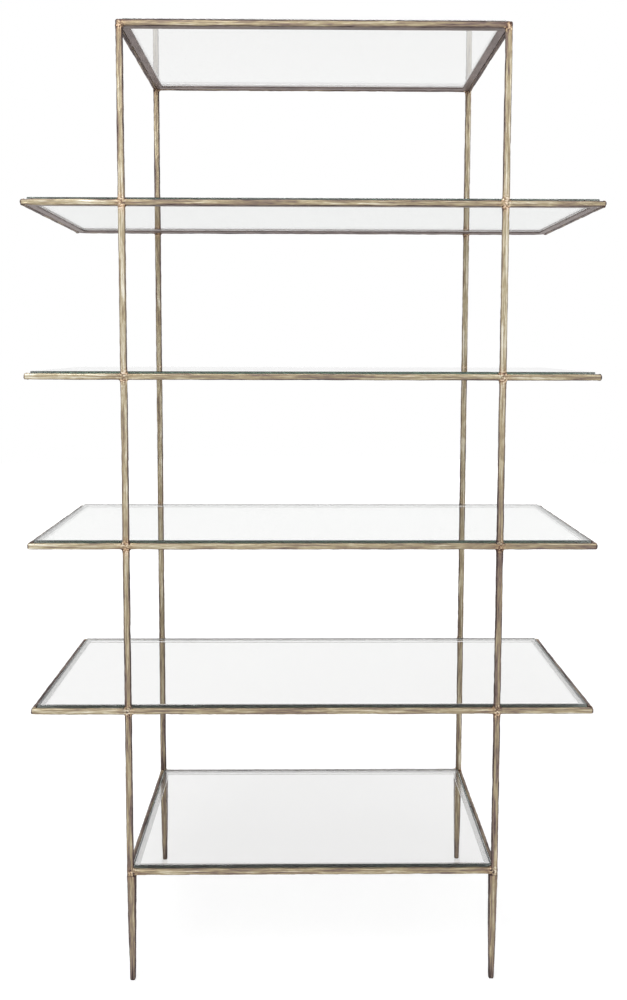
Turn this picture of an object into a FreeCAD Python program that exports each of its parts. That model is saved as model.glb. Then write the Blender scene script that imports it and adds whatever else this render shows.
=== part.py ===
import FreeCAD, Part

# Etagere of hammered flat iron bar with six glass shelves.
#
# Frame of reference: millimetres, +Z up, +X to the right and -Y to the front, with the origin on the
# floor under the middle of the stand. Shelf 1 is the top one and shelf 6 the lowest. Bay 1 is the
# space between shelves 1 and 2. Each shelf is a welded rectangle of bar on edge with a flat ledge
# inside it, and the glass lies loose on the ledge.

import math
import os

import Sketcher
from FreeCAD import Placement, Rotation, Vector

SHEET = "Sizes"

DRIVING_SIZES = [
    ("shelf_pitch", "355", "height from one shelf frame to the next"),
    ("base_height", "246", "floor to the middle of the lowest shelf frame"),
    ("stand_width", "798.5", "outside width across the posts"),
    ("stand_depth", "456", "outside depth across the posts and the shelf frames"),
    ("wide_shelf_width", "1196", "outside width of the four shelves that pass the posts"),
    ("rail_face", "13", "height of a rail, the wide face of its bar"),
    ("post_face", "14.5", "width of a post, the wide face of its bar"),
    ("bar_thick", "9", "narrow side of both bars"),
    ("bar_arris", "2", "bevel hammered along the bar's edges"),
    ("weld_leg", "5.5", "leg of a weld fillet in an inside corner"),
    ("shoulder_face", "19", "width of a leg under the lowest frame"),
    ("shoulder_thick", "13", "depth of a leg under the lowest frame"),
    ("foot_face", "11.8", "width of a leg at the floor"),
    ("foot_thick", "9", "depth of a leg at the floor"),
    ("leg_arris", "2.2", "bevel hammered along a leg's edges"),
    ("foot_arris", "1.2", "bevel round the underside of a foot"),
    ("ledge_width", "15", "width of the flat ledge under the glass"),
    ("ledge_thick", "4", "thickness of the ledge"),
    ("ledge_gap", "0.9", "gap between ledge and rail, bridged by the tack welds"),
    ("ledge_recess", "1.2", "ledge underside above the rail's underside"),
    ("ledge_arris", "1", "rounding of the ledge's long edges"),
    ("tack_length", "11", "length of a tack weld"),
    ("tack_pitch", "100", "about how far apart the tack welds are"),
    ("tack_bite", "1.5", "how far a tack weld runs onto the ledge"),
    ("glass_thick", "12", "thickness of the glass"),
    ("glass_gap", "2", "gap between the glass and the rails round it"),
    ("glass_cushion", "0.3", "space for the tape that the glass lies on"),
    ("glass_arris", "1", "polished bevel along the top and bottom edges of the glass"),
]

SHELF_COUNT = 6
WIDE_SHELVES = (2, 3, 4, 5)
TOP, BOTTOM = 1, -1
LEFT, RIGHT = -1, 1
FRONT, BACK = -1, 1

doc = FreeCAD.newDocument("etagere")
nodes = []


# ---------------------------------------------------------------- sizes

class Size:
    """A length in millimetres, kept together with the sheet formula that gives it."""

    def __init__(self, number, formula):
        self.number = number
        self.formula = formula

    def __add__(self, other):
        return Size(self.number + other.number, f"({self.formula} + {other.formula})")

    def __sub__(self, other):
        return Size(self.number - other.number, f"({self.formula} - {other.formula})")

    def __mul__(self, factor):
        return Size(self.number * factor, f"({self.formula} * {factor})")

    def __neg__(self):
        return self * -1


def make_sheet():
    """Fills the spreadsheet and gives one Size for each driving dimension."""
    sheet = doc.addObject("Spreadsheet::Sheet", SHEET)
    sizes = {}
    for row, (alias, number, meaning) in enumerate(DRIVING_SIZES, start=1):
        sheet.set(f"A{row}", alias)
        sheet.set(f"B{row}", number)
        sheet.setAlias(f"B{row}", alias)
        sheet.set(f"C{row}", meaning)
        sizes[alias] = Size(float(number), f"{SHEET}.{alias}")
    doc.recompute()
    return sizes


SIZE = make_sheet()
ZERO = Size(0.0, "0")
PITCH = SIZE["shelf_pitch"]
RAIL_FACE = SIZE["rail_face"]
POST_FACE = SIZE["post_face"]
THICK = SIZE["bar_thick"]
LEDGE_WIDTH = SIZE["ledge_width"]
LEDGE_GAP = SIZE["ledge_gap"]

RAIL_Y = (SIZE["stand_depth"] - THICK) * 0.5
POST_X = (SIZE["stand_width"] - POST_FACE) * 0.5
INNER_DEPTH = SIZE["stand_depth"] - THICK * 2
LEG_HEIGHT = SIZE["base_height"] - RAIL_FACE * 0.5
LEG_X = (SIZE["stand_width"] - SIZE["shoulder_face"]) * 0.5
LEG_Y = (SIZE["stand_depth"] - SIZE["shoulder_thick"]) * 0.5


def shelf_height(shelf):
    """Height of the middle of a shelf frame above the floor."""
    return SIZE["base_height"] + PITCH * (SHELF_COUNT - shelf)


def shelf_width(shelf):
    """Outside width of a shelf frame."""
    return SIZE["wide_shelf_width"] if shelf in WIDE_SHELVES else SIZE["stand_width"]


def inner_width(shelf):
    """Clear width inside a shelf frame."""
    return shelf_width(shelf) - THICK * 2


# ---------------------------------------------------------------- building blocks

def new_body(name):
    """Starts an empty body that carries the piece's own name."""
    body = doc.addObject("PartDesign::Body", name)
    body.Label = name
    return body


def new_sketch(body, role, name):
    """Attaches a sketch to one of the body's own origin planes."""
    sketch = body.newObject("Sketcher::SketchObject", name)
    for feature in body.Origin.OriginFeatures:
        if feature.Role == role:
            sketch.AttachmentSupport = [(feature, "")]
    sketch.MapMode = "FlatFace"
    return sketch


def tie(sketch, geometry, position, axis, size):
    """Holds one coordinate of a sketch point at a size measured from the sketch's origin."""
    origin = (-1, 1)
    point = (geometry, position)
    first, second = (origin, point) if size.number > 0 else (point, origin)
    index = sketch.addConstraint(Sketcher.Constraint("Distance" + axis, *first, *second, abs(size.number)))
    reach = size if size.number > 0 else -size
    sketch.setExpression(f"Constraints[{index}]", reach.formula)


def draw_loop(sketch, points, arcs=None):
    """Draws a closed outline through (x, y) sizes, with a straight line or an arc from each to the next.

    arcs gives, for the number of a point, the centre, the radius and the start angle in degrees of
    the quarter circle from it to the next point, and whether that circle runs forwards.
    """
    arcs = arcs or {}
    ends = []
    for number, (x, y) in enumerate(points):
        after_x, after_y = points[(number + 1) % len(points)]
        if number in arcs:
            (centre_x, centre_y), radius, start, forwards = arcs[number]
            circle = Part.Circle(Vector(centre_x.number, centre_y.number), Vector(0, 0, 1), radius.number)
            quarter = Part.ArcOfCircle(circle, math.radians(start), math.radians(start + 90))
            geometry = sketch.addGeometry(quarter)
            tie(sketch, geometry, 3, "X", centre_x)
            ends.append((geometry, 1, 2) if forwards else (geometry, 2, 1))
        else:
            line = Part.LineSegment(Vector(x.number, y.number), Vector(after_x.number, after_y.number))
            ends.append((sketch.addGeometry(line), 1, 2))
    for number, (x, y) in enumerate(points):
        geometry, begin, finish = ends[number]
        next_geometry, next_begin, next_finish = ends[(number + 1) % len(points)]
        sketch.addConstraint(Sketcher.Constraint("Coincident", geometry, finish, next_geometry, next_begin))
        tie(sketch, geometry, begin, "X", x)
        tie(sketch, geometry, begin, "Y", y)


def draw_rectangle(sketch, width, height):
    """Draws a rectangle about the sketch's origin."""
    x = width * 0.5
    y = height * 0.5
    draw_loop(sketch, [(-x, -y), (x, -y), (x, y), (-x, y)])


def pad(body, sketch, thickness, symmetric=True):
    """Pads a sketch, to both sides of its plane unless told otherwise."""
    feature = body.newObject("PartDesign::Pad", sketch.Name + "_pad")
    feature.Profile = sketch
    feature.SideType = "Symmetric" if symmetric else "One side"
    feature.Length = thickness.number
    feature.setExpression("Length", thickness.formula)
    doc.recompute()
    return feature


def chamfer(body, base, wanted, size):
    """Bevels the edges of base whose vertices pass the test called wanted."""
    names = [
        f"Edge{number}"
        for number, edge in enumerate(base.Shape.Edges, start=1)
        if wanted([vertex.Point for vertex in edge.Vertexes])
    ]
    feature = body.newObject("PartDesign::Chamfer", body.Name + "_arris")
    feature.Base = (base, names)
    feature.Size = size.number
    feature.setExpression("Size", size.formula)
    return feature


def at(values, place):
    """Says whether all the values are at one place."""
    return all(math.isclose(value, place, abs_tol=1e-5) for value in values)


def put(body, x, y, z, rotation=None):
    """Places a body; each coordinate is a Size."""
    body.Placement = Placement(Vector(x.number, y.number, z.number), rotation or Rotation())
    body.setExpression("Placement.Base.x", x.formula)
    body.setExpression("Placement.Base.y", y.formula)
    body.setExpression("Placement.Base.z", z.formula)


def turned(degrees):
    """A turn about the vertical."""
    return Rotation(Vector(0, 0, 1), degrees)


OUTSIDE_TURN = {"front": turned(0), "right": turned(90), "back": turned(180), "left": turned(-90)}
UPRIGHT = Rotation(Vector(0, 1, 0), -90)


def keep(name, part):
    """Notes a finished sub-part; its name is also its file's name."""
    part.Label = name
    nodes.append((name, part))


# ---------------------------------------------------------------- hammered bar

def bar_outline(length, face, flares):
    """Face-on outline of a bar along X, with a quarter-round weld flare at each listed corner.

    A corner is (end, edge), each 1 or -1. The weld meets the bar it stands on with its full leg.
    """
    weld = SIZE["weld_leg"]
    half_length = length * 0.5
    half_face = face * 0.5
    points = []
    arcs = {}
    for end, edge in ((-1, -1), (1, -1), (1, 1), (-1, 1)):
        if (end, edge) not in flares:
            points.append((half_length * end, half_face * edge))
            continue
        centre = ((half_length - weld) * end, (half_face + weld) * edge)
        on_edge = ((half_length - weld) * end, half_face * edge)
        on_end = (half_length * end, (half_face + weld) * edge)
        start = -90 * edge if end == edge else 90 - 90 * end
        arcs[len(points)] = (centre, weld, start, False)
        points.extend((on_end, on_edge) if end == edge else (on_edge, on_end))
    return points, arcs


def make_bar(name, length, face, flares=(), free_ends=False):
    """A bar along its own X, face up and down in Z, with its outside towards -Y.

    Free ends are the tips that stand out past the posts: they are dressed round on the outside.
    """
    body = new_body(name)
    sketch = new_sketch(body, "XZ_Plane", name + "_outline")
    points, arcs = bar_outline(length, face, flares)
    draw_loop(sketch, points, arcs)
    blank = pad(body, sketch, THICK)
    half_length = length.number / 2
    outside = -THICK.number / 2
    inside = THICK.number / 2

    def wanted(vertices):
        ends = [vertex.x for vertex in vertices]
        sides = [vertex.y for vertex in vertices]
        if at(ends, half_length) or at(ends, -half_length):
            return free_ends and not at(sides, inside)
        return at(sides, outside) or at(sides, inside)

    chamfer(body, blank, wanted, SIZE["bar_arris"])
    return body


def make_rails(shelf):
    """The four rails of one shelf frame, each butted and welded at its ends."""
    height = shelf_height(shelf)
    lowest = shelf == SHELF_COUNT
    wide = shelf in WIDE_SHELVES
    long_flares = {(1, TOP), (-1, TOP)} if lowest else set()
    long_length = SIZE["stand_width"] - POST_FACE * 2 if lowest else shelf_width(shelf)
    for side, y in (("front", -RAIL_Y), ("back", RAIL_Y)):
        name = f"rail_{side}_{shelf}"
        rail = make_bar(name, long_length, RAIL_FACE, long_flares, free_ends=wide)
        put(rail, ZERO, y, height, OUTSIDE_TURN[side])
        keep(name, rail)
    cross_flares = set()
    if lowest:
        cross_flares = {(1, TOP), (-1, TOP)}
    if shelf == 1:
        cross_flares = {(1, BOTTOM), (-1, BOTTOM)}
    rail_x = (shelf_width(shelf) - THICK) * 0.5
    for side, x in (("left", -rail_x), ("right", rail_x)):
        name = f"rail_{side}_{shelf}"
        rail = make_bar(name, INNER_DEPTH, RAIL_FACE, cross_flares)
        put(rail, x, ZERO, height, OUTSIDE_TURN[side])
        keep(name, rail)


def make_posts(bay):
    """The four post lengths of one bay. Those of the lowest bay run down past the lowest frame."""
    lowest = bay == SHELF_COUNT - 1
    top = shelf_height(bay) - RAIL_FACE * 0.5
    bottom = shelf_height(bay + 1) + RAIL_FACE * (-0.5 if lowest else 0.5)
    for side, hand in (("left", LEFT), ("right", RIGHT)):
        inner_edge = hand
        flares = {(TOP, inner_edge)}
        if bay > 1:
            flares.add((TOP, -inner_edge))
        if not lowest:
            flares.update({(BOTTOM, inner_edge), (BOTTOM, -inner_edge)})
        for row, way in (("front", FRONT), ("back", BACK)):
            name = f"post_{row}_{side}_{bay}"
            post = make_bar(name, top - bottom, POST_FACE, flares)
            put(post, POST_X * hand, RAIL_Y * way, (top + bottom) * 0.5, UPRIGHT)
            keep(name, post)


# ---------------------------------------------------------------- legs

def weld_fillet(body, role, reach, offset, way):
    """A quarter-round weld at the top of a leg, under the rail that runs off to one side.

    reach is the leg's half size towards that rail, offset the rail's place along the sketch's
    normal, and way the side (1 or -1) of the sketch's horizontal axis that the rail runs to.
    """
    weld = SIZE["weld_leg"]
    root = SIZE["leg_arris"]
    sketch = new_sketch(body, role, f"{body.Name}_weld_{role[:2].lower()}")
    sketch.AttachmentOffset = Placement(Vector(0, 0, offset.number), Rotation())
    sketch.setExpression("AttachmentOffset.Base.z", offset.formula)
    top = LEG_HEIGHT
    low = top - weld
    inside = (reach - root) * way
    edge = reach * way
    tip = (reach + weld) * way
    points = [(inside, top), (tip, top), (edge, low), (inside, low)]
    start = 90 if way == 1 else 0
    arcs = {1: ((tip, low), weld, start, way == 1)}
    draw_loop(sketch, points, arcs)
    return pad(body, sketch, THICK - SIZE["bar_arris"] * 2)


def leg_section(body, name, height, width, depth):
    """Draws the outline of a leg at one height: a rectangle with its corners hammered off."""
    sketch = new_sketch(body, "XY_Plane", f"{body.Name}_{name}")
    sketch.AttachmentOffset = Placement(Vector(0, 0, height.number), Rotation())
    sketch.setExpression("AttachmentOffset.Base.z", height.formula)
    x = width * 0.5
    y = depth * 0.5
    arris = SIZE["leg_arris"]
    draw_loop(sketch, [
        (arris - x, -y), (x - arris, -y), (x, arris - y), (x, y - arris),
        (x - arris, y), (arris - x, y), (-x, y - arris), (-x, arris - y),
    ])
    return sketch


def make_leg(name, hand, way):
    """A forged leg: widest under the frame, drawn down to a small foot eased round its underside.

    Its shoulder is flush with the outside of the frame, and stands in past the rails.
    """
    body = new_body(name)
    face = SIZE["foot_face"]
    thick = SIZE["foot_thick"]
    ease = SIZE["foot_arris"]
    sole = leg_section(body, "sole", ZERO, face - ease * 2, thick - ease * 2)
    foot = leg_section(body, "foot", ease, face, thick)
    shoulder = leg_section(body, "shoulder", LEG_HEIGHT, SIZE["shoulder_face"], SIZE["shoulder_thick"])
    taper = body.newObject("PartDesign::AdditiveLoft", name + "_taper")
    taper.Profile = sole
    taper.Sections = [foot, shoulder]
    taper.Ruled = True
    doc.recompute()
    long_rail = (SIZE["shoulder_thick"] - THICK) * 0.5
    side_rail = (SIZE["shoulder_face"] - THICK) * 0.5
    weld_fillet(body, "XZ_Plane", SIZE["shoulder_face"] * 0.5, long_rail * -way, -hand)
    weld_fillet(body, "YZ_Plane", SIZE["shoulder_thick"] * 0.5, side_rail * hand, -way)
    put(body, LEG_X * hand, LEG_Y * way, ZERO)
    keep(name, body)


# ---------------------------------------------------------------- ledges

def make_strip(name, length):
    """A flat strip along its own X with a row of tack welds on its outer edge, towards -Y."""
    width = LEDGE_WIDTH
    thick = SIZE["ledge_thick"]
    body = new_body(name)
    section = new_sketch(body, "XY_Plane", name + "_plan")
    draw_rectangle(section, length, width)
    flat = pad(body, section, thick, symmetric=False)
    half_width = width.number / 2

    def wanted(vertices):
        sides = [vertex.y for vertex in vertices]
        heights = [vertex.z for vertex in vertices]
        return at(heights, 0) and (at(sides, half_width) or at(sides, -half_width))

    eased = chamfer(body, flat, wanted, SIZE["ledge_arris"])
    tacks = max(2, round(length.number / SIZE["tack_pitch"].number) - 1)
    spread = length * ((tacks - 1) / (tacks + 1))
    tack_floor = SIZE["bar_arris"] - SIZE["ledge_recess"]
    weld = new_sketch(body, "XY_Plane", name + "_tack")
    weld.AttachmentOffset = Placement(Vector(0, 0, tack_floor.number), Rotation())
    weld.setExpression("AttachmentOffset.Base.z", tack_floor.formula)
    middle = spread * -0.5
    half_tack = SIZE["tack_length"] * 0.5
    root = -(width * 0.5 - SIZE["tack_bite"])
    face = -(width * 0.5 + LEDGE_GAP)
    draw_loop(weld, [
        (middle - half_tack, face), (middle + half_tack, face),
        (middle + half_tack, root), (middle - half_tack, root),
    ])
    bead = pad(body, weld, thick - tack_floor, symmetric=False)
    row = body.newObject("PartDesign::LinearPattern", name + "_tacks")
    row.Originals = [bead]
    row.Direction = (weld, ["H_Axis"])
    row.Length = spread.number
    row.setExpression("Length", spread.formula)
    row.Occurrences = tacks
    body.Tip = row
    return body


def make_ledge(shelf):
    """The ledge of one shelf: four strips butted at the corners, with their welds."""
    underside = shelf_height(shelf) - RAIL_FACE * 0.5 + SIZE["ledge_recess"]
    across = inner_width(shelf) - LEDGE_GAP * 2
    between = INNER_DEPTH - (LEDGE_GAP + LEDGE_WIDTH) * 2
    inset = LEDGE_GAP + LEDGE_WIDTH * 0.5
    strip_y = INNER_DEPTH * 0.5 - inset
    strip_x = inner_width(shelf) * 0.5 - inset
    places = (
        ("front", across, ZERO, -strip_y),
        ("back", across, ZERO, strip_y),
        ("left", between, -strip_x, ZERO),
        ("right", between, strip_x, ZERO),
    )
    strips = []
    for side, length, x, y in places:
        strip = make_strip(f"ledge_{shelf}_{side}", length)
        put(strip, x, y, underside, OUTSIDE_TURN[side])
        strips.append(strip)
    ring = doc.addObject("Part::Compound", f"ledge_{shelf}_ring")
    ring.Links = strips
    keep(f"ledge_{shelf}", ring)


# ---------------------------------------------------------------- glass

def make_glass(shelf):
    """A pane with its edges polished flat and eased, lying inside the rails on the ledge."""
    name = f"glass_{shelf}"
    thick = SIZE["glass_thick"]
    clearance = SIZE["glass_gap"] * 2
    body = new_body(name)
    plan = new_sketch(body, "XY_Plane", name + "_plan")
    draw_rectangle(plan, inner_width(shelf) - clearance, INNER_DEPTH - clearance)
    pane = pad(body, plan, thick, symmetric=False)

    def wanted(vertices):
        heights = [vertex.z for vertex in vertices]
        return at(heights, 0) or at(heights, thick.number)

    chamfer(body, pane, wanted, SIZE["glass_arris"])
    seat = SIZE["ledge_recess"] + SIZE["ledge_thick"] + SIZE["glass_cushion"]
    put(body, ZERO, ZERO, shelf_height(shelf) - RAIL_FACE * 0.5 + seat)
    keep(name, body)


# ---------------------------------------------------------------- the whole stand

def check(name, shape):
    """Stops the build if a shape is missing, broken or empty."""
    if shape.isNull() or not shape.isValid() or not shape.Solids or shape.Volume <= 0:
        raise RuntimeError(f"{name} has no sound solid")


def main():
    for shelf in range(1, SHELF_COUNT + 1):
        make_rails(shelf)
        make_ledge(shelf)
        make_glass(shelf)
    for bay in range(1, SHELF_COUNT):
        make_posts(bay)
    for side, hand in (("left", LEFT), ("right", RIGHT)):
        for row, way in (("front", FRONT), ("back", BACK)):
            make_leg(f"leg_{row}_{side}", hand, way)
    doc.recompute()
    for part in doc.Objects:
        if "Invalid" in part.State or "Error" in part.State:
            raise RuntimeError(f"{part.Label} could not be built: {part.State}")
    for name, part in nodes:
        check(name, part.Shape)
    os.makedirs("parts", exist_ok=True)
    for name, part in nodes:
        part.Shape.exportStep(f"parts/{name}.step")
    print(f"{len(nodes)} sub-parts written")


main()
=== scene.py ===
"""Dresses the etagere: hammered bars, forged legs, welded ledges, glazing tape and thick glass panes."""
import math
import random
from collections import defaultdict
from collections.abc import Sequence
from dataclasses import dataclass

import bmesh
import bpy
from bpy.props import FloatProperty, FloatVectorProperty, IntProperty, PointerProperty
from mathutils import Matrix, Vector


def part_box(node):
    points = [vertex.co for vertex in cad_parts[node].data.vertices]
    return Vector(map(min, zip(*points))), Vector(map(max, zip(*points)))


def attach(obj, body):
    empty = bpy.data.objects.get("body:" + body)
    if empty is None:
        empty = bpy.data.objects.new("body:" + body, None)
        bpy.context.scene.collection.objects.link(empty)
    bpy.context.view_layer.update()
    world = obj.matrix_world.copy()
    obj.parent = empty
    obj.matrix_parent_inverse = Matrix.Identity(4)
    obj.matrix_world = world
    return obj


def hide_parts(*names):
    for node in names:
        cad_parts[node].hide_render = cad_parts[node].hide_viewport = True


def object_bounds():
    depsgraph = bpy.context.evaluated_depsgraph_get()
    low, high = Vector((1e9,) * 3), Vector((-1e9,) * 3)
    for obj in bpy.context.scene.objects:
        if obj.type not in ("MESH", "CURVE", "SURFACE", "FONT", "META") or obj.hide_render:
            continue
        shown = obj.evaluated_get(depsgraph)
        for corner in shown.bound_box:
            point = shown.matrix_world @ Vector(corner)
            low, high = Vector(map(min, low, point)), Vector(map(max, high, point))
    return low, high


bl_info = {
    "name": "Hammered iron etagere",
    "version": (1, 0, 0),
    "blender": (4, 5, 0),
    "location": "3D View > Sidebar > Etagere",
    "description": "Makes the finished surfaces of a hammered iron etagere with glass shelves",
    "category": "Object",
}

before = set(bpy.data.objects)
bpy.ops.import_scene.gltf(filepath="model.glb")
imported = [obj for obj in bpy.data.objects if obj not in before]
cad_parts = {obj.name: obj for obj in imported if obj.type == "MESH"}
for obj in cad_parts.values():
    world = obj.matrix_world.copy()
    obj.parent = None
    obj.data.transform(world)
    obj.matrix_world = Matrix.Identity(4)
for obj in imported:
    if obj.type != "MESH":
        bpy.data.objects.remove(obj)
CAD_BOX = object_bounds()

# shelf 1 and bay 1 are the highest
SHELVES = range(1, 7)
BAYS = range(1, 6)
LOWEST_SHELF, LOWEST_BAY = SHELVES[-1], BAYS[-1]
SIDES = {"left": -1, "right": 1}
ROWS = {"front": -1, "back": 1}
# the tape of the shelves that are looked at from below ends at the ledge's edge, so that no foil shows
CUT_FLUSH = (1, 2)
STAND = "stand"
UP = Vector((0, 0, 1))
ACROSS = Vector((1, 0, 0))


def middle(node):
    """The centre of a CAD node's box."""
    low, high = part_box(node)
    return (low + high) / 2


def extent(node):
    """The lengths of a CAD node's box."""
    low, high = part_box(node)
    return high - low


RAIL = extent("rail_front_2")
LEG_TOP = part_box("leg_front_right")[1].z


def shelf_level(shelf):
    """Height of the middle of a shelf frame."""
    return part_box(f"rail_front_{shelf}")[0].z + RAIL.z / 2


def linear(code):
    """Turns an sRGB hex colour into linear red, green and blue."""
    parts = [int(code[i:i + 2], 16) / 255 for i in (1, 3, 5)]
    return [c / 12.92 if c <= 0.04045 else ((c + 0.055) / 1.055) ** 2.4 for c in parts]


def opaque(shade, part=1.0):
    """A colour with its alpha, darkened to a part of itself."""
    return (*[value * part for value in shade], 1.0)


# ---------------------------------------------------------------- what a user can change

def length(name, description, default):
    """A property for a length in metres."""
    return FloatProperty(
        name=name, description=description, default=default, min=0, unit="LENGTH", precision=5)


def colour(name, description, code):
    """A property for a colour."""
    return FloatVectorProperty(
        name=name, description=description, default=linear(code), size=3, min=0, max=1, subtype="COLOR")


class EtagereSizes(bpy.types.PropertyGroup):
    """Sizes of what the hammer, the torch and the glazier leave on the stand."""

    rail_face: length("Rail face", "Height of a rail", RAIL.z)
    post_face: length("Post face", "Width of a post", 0.0145)
    bar_thickness: length("Bar thickness", "Narrow side of rails and posts", RAIL.y)
    foot_face: length("Foot face", "Width of a leg at the floor", 0.0118)
    foot_thickness: length("Foot thickness", "Depth of a leg at the floor", 0.009)
    leg_bow: length("Leg bow", "How much a leg stands out of a straight taper", 0.001)
    bar_round: length("Bar corner", "Rounding of the bar's hammered corners", 0.0026)
    dent_length: length("Dent length", "Length of a hammer dent along the bar", 0.034)
    dent_width: length("Dent width", "Width of a hammer dent", 0.0062)
    dent_depth: length("Dent depth", "Depth of a deep hammer dent", 0.00075)
    waver: length("Waver", "Width of the band that the bar's middle wanders in", 0.0012)
    weld_leg: length("Weld leg", "Reach of a weld fillet along each bar", 0.0055)
    weld_lump: length("Weld lump", "How far the weld stands out in lumps", 0.0011)
    heat_reach: length("Heat reach", "How far from a joint the weld's heat and spatter fade", 0.012)
    tip_round: length("Tip rounding", "Rounding of a bar's free end, seen on its face", 0.0042)
    tip_draw: length("Tip draw", "Length over which a free end is drawn down a little", 0.045)
    tip_dull: FloatProperty(
        name="Tip dulling", description="How dark a free end stays", default=1.1, min=0)
    ring_step: length("Ring step", "Distance between the rings of points along a bar", 0.003)
    tack_length: length("Tack length", "Length of a tack weld between ledge and rail", 0.011)
    tack_width: length("Tack width", "Width of a tack weld", 0.0034)
    tack_pitch: length("Tack pitch", "About how far apart the tack welds are", 0.1)
    ledge_gap: length("Ledge gap", "Gap between ledge and rail", 0.0009)
    tape_inset: length("Tape inset", "Tape edge inside the ledge's outer edge", 0.0006)
    tape_hem: length("Tape hem", "How far the tape is folded down over the ledge's inner edge", 0.0025)
    ledge_width: length("Ledge width", "Width of a ledge", 0.015)
    tape_thickness: length("Tape thickness", "Thickness of the glazing tape", 0.00024)
    pane_arris: length("Pane arris", "Polished bevel along the edges of a pane", 0.001)
    pane_corner: length("Pane corner", "Rounding of a pane's corners", 0.0025)
    seed: IntProperty(name="Seed", description="Picks the pattern of the dents", default=11, min=0)


class EtagereColours(bpy.types.PropertyGroup):
    """Colours of the finishes."""

    # the two darkest stops are mostly painted shade: umber_shade is laid on the undersides and narrow
    # sides, and oxide_and_shade where that painted shade is deepest, besides the black of the weld ripples
    oxide_and_shade: colour("Oxide", "Dark scale left in the deepest dents", "#4A3D3B")
    umber_shade: colour("Umber", "Undersides and narrow sides of the bars", "#7D6C67")
    patina: colour("Patina", "Bar that the cloth passed over lightly", "#998973")
    gold: colour("Gold", "Brass wash on the wide faces", "#B5A788")
    # rubbed and bright are reached where rub_and_painted_light and the streaks are highest, and there they
    # are in part painted highlight
    rubbed: colour("Rubbed brass", "Where the wash is rubbed back", "#D6CDB6")
    bright: colour("Bright brass", "High ridges, rubbed nearly white", "#F1ECDD")
    weld_tint: colour("Weld tint", "Copper tint that the heat lays over the brass", "#F4CBAE")
    ledge_bronze: colour("Ledge bronze", "Flat strips under the glass", "#958682")
    tape: colour("Glazing tape", "Foil face of the tape under the panes", "#FFFFFF")
    glass_face: colour("Glass face", "What the two faces of a pane let through", "#EEEBEC")
    glass_body: colour("Glass body", "What the body of the glass lets through", "#C3E4D4")
    floor: colour("Floor", "Studio floor", "#F4F4F4")


# ---------------------------------------------------------------- node trees

def add(tree, kind, inputs=None, output=0, **settings):
    """Adds a node with its settings, links or fills its inputs, and gives one of its outputs."""
    node = tree.nodes.new(kind)
    for name, value in settings.items():
        setattr(node, name, value)
    for key, value in (inputs or {}).items():
        if isinstance(value, bpy.types.NodeSocket):
            tree.links.new(value, node.inputs[key])
        else:
            node.inputs[key].default_value = value
    return node.outputs[output] if node.outputs else None


def new_geometry_tree(name, **inputs):
    """An empty geometry tree with named inputs, listed by their kind, and what they give."""
    tree = bpy.data.node_groups.new(name, "GeometryNodeTree")
    tree.interface.new_socket("Geometry", in_out="INPUT", socket_type="NodeSocketGeometry")
    for kind, titles in inputs.items():
        for title in titles:
            tree.interface.new_socket(title, in_out="INPUT", socket_type="NodeSocket" + kind)
    tree.interface.new_socket("Geometry", in_out="OUTPUT", socket_type="NodeSocketGeometry")
    return tree, add(tree, "NodeGroupInput").node.outputs


def end_geometry_tree(tree, geometry, material):
    """Ends a geometry tree with smooth geometry in one material."""
    geometry = add(tree, "GeometryNodeSetShadeSmooth", {"Geometry": geometry, "Shade Smooth": True})
    geometry = add(tree, "GeometryNodeSetMaterial", {"Geometry": geometry, "Material": material})
    add(tree, "NodeGroupOutput", {"Geometry": geometry})


# points round a bar's section
OUTLINE_POINTS = 26


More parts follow.
